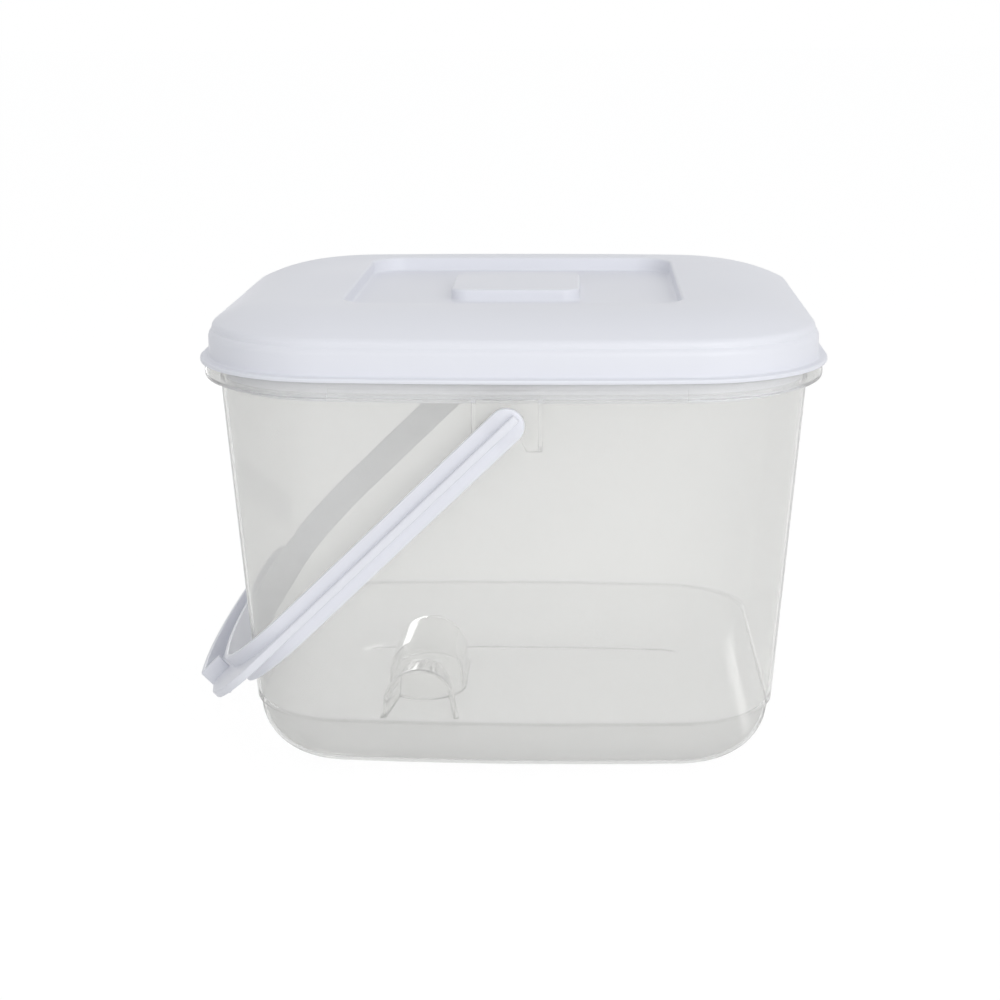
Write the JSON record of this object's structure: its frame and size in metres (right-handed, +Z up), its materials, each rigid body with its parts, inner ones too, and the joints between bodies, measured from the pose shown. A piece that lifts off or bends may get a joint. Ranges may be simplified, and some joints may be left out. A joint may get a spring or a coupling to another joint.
{
  "type": "pet food bin",
  "caption": "Clear round-cornered pet food bin with a domed white lift-off lid, a white swing-over carrying handle and a loose clear scoop lying inside",
  "frame": {"origin": "middle of the tub's underside, at the level of the flat ring it stands on", "axes": "+Z up; +X across the width to the right, away from the side the handle rests on; +Y from the front bracket to the back bracket, along the handle's pivot axis"},
  "size_m": [0.3171, 0.3052, 0.2334],
  "materials": {
    "clear_plastic": "clear, slightly hazy moulded polypropylene",
    "white_plastic": "satin cool-white moulded polypropylene"
  },
  "bodies": {
    "tub": {"tub": "clear_plastic"},
    "lid": {"lid": "white_plastic"},
    "bail_handle": {"bail_handle": "white_plastic"},
    "scoop": {"scoop": "clear_plastic"}
  },
  "joints": [
    {"name": "lid_lift", "type": "slide", "parent": "tub", "child": "lid", "axis": [0, 0, 1], "range_m": [0, 0.12]},
    {"name": "handle_swing", "type": "hinge", "parent": "tub", "child": "bail_handle", "pos_m": [0, 0, 0.1863], "axis": [0, 1, 0], "range_deg": [0, 268]},
    {"name": "scoop_lift", "type": "slide", "parent": "tub", "child": "scoop", "axis": [0, 0, 1], "range_m": [0, 0.15]}
  ]
}
